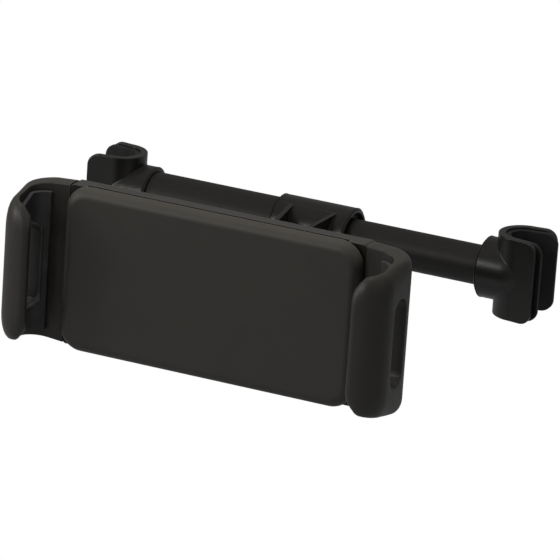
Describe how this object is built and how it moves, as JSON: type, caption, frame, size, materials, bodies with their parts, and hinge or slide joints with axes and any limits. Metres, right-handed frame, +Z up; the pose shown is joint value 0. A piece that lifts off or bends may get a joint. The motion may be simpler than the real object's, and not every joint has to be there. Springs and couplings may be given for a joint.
{
  "type": "headrest tablet mount",
  "caption": "Telescoping bar that clips between two headrest posts and carries a spring-jawed tablet holder on a ball joint.",
  "frame": {"origin": "the left headrest post's axis, at the height of the bar's axis", "axes": "+X along the bar to the right post, -Y towards the passenger who looks at the holder, +Z up along the posts"},
  "size_m": [0.2094, 0.1399, 0.0704],
  "materials": {
    "shell_plastic": "fine moulded texture, satin on the rounded edges",
    "jaw_plastic": "fine moulded texture, satin on the rounded edges",
    "bar_plastic": "smooth satin, drawn along the tube",
    "panel_plastic": "soft-touch coating over a fine grain",
    "liner_rubber": "matt rubber",
    "pad_rubber": "matt rubber",
    "nylon": "natural nylon",
    "black_nylon": "smooth black nylon",
    "spring_steel": "bright spring wire",
    "screw_steel": "blackened steel"
  },
  "bodies": {
    "bar": {"outer_tube": "bar_plastic", "left_hook": "shell_plastic", "left_hook_liner": "liner_rubber", "tube_bush": "black_nylon", "bar_spring": "spring_steel", "ball_bracket": "shell_plastic"},
    "slider": {"inner_tube": "bar_plastic", "tube_plug": "nylon", "right_hook": "shell_plastic", "right_hook_liner": "liner_rubber"},
    "liner_ring": {"socket_liner_ring": "nylon"},
    "friction_pad": {"socket_friction_pad": "pad_rubber"},
    "holder": {"rear_housing": "shell_plastic", "front_panel": "panel_plastic", "housing_screws": "screw_steel", "left_jaw_spring": "spring_steel", "right_jaw_spring": "spring_steel"},
    "lock_nut": {"lock_nut": "shell_plastic"},
    "left_jaw": {"left_jaw": "jaw_plastic", "left_jaw_pad": "pad_rubber"},
    "right_jaw": {"right_jaw": "jaw_plastic", "right_jaw_pad": "pad_rubber"}
  },
  "joints": [
    {"name": "bar_slide", "type": "slide", "parent": "bar", "child": "slider", "axis": [1, 0, 0], "range_m": [-0.05, 0], "stiffness_N_per_m": 240, "springref_m": 0.033, "deforming": ["bar_spring"]},
    {"name": "ball_tilt", "type": "hinge", "parent": "bar", "child": "liner_ring", "pos_m": [0.093, -0.07, 0], "axis": [1, 0, 0], "range_deg": [-20, 20]},
    {"name": "ball_swivel", "type": "hinge", "parent": "liner_ring", "child": "friction_pad", "pos_m": [0.093, -0.07, 0], "axis": [0, 0, 1], "range_deg": [-20, 20]},
    {"name": "ball_spin", "type": "hinge", "parent": "friction_pad", "child": "holder", "pos_m": [0.093, -0.07, 0], "axis": [0, 1, 0], "continuous": true},
    {"name": "lock_nut_turn", "type": "hinge", "parent": "holder", "child": "lock_nut", "pos_m": [0.093, -0.07, 0], "axis": [0, 1, 0], "range_deg": [0, 90]},
    {"name": "left_jaw_slide", "type": "slide", "parent": "holder", "child": "left_jaw", "axis": [-1, 0, 0], "range_m": [0, 0.04], "stiffness_N_per_m": 200, "springref_m": -0.02, "deforming": ["left_jaw_spring"]},
    {"name": "right_jaw_slide", "type": "slide", "parent": "holder", "child": "right_jaw", "axis": [1, 0, 0], "range_m": [0, 0.04], "stiffness_N_per_m": 200, "springref_m": -0.02, "deforming": ["right_jaw_spring"]}
  ]
}
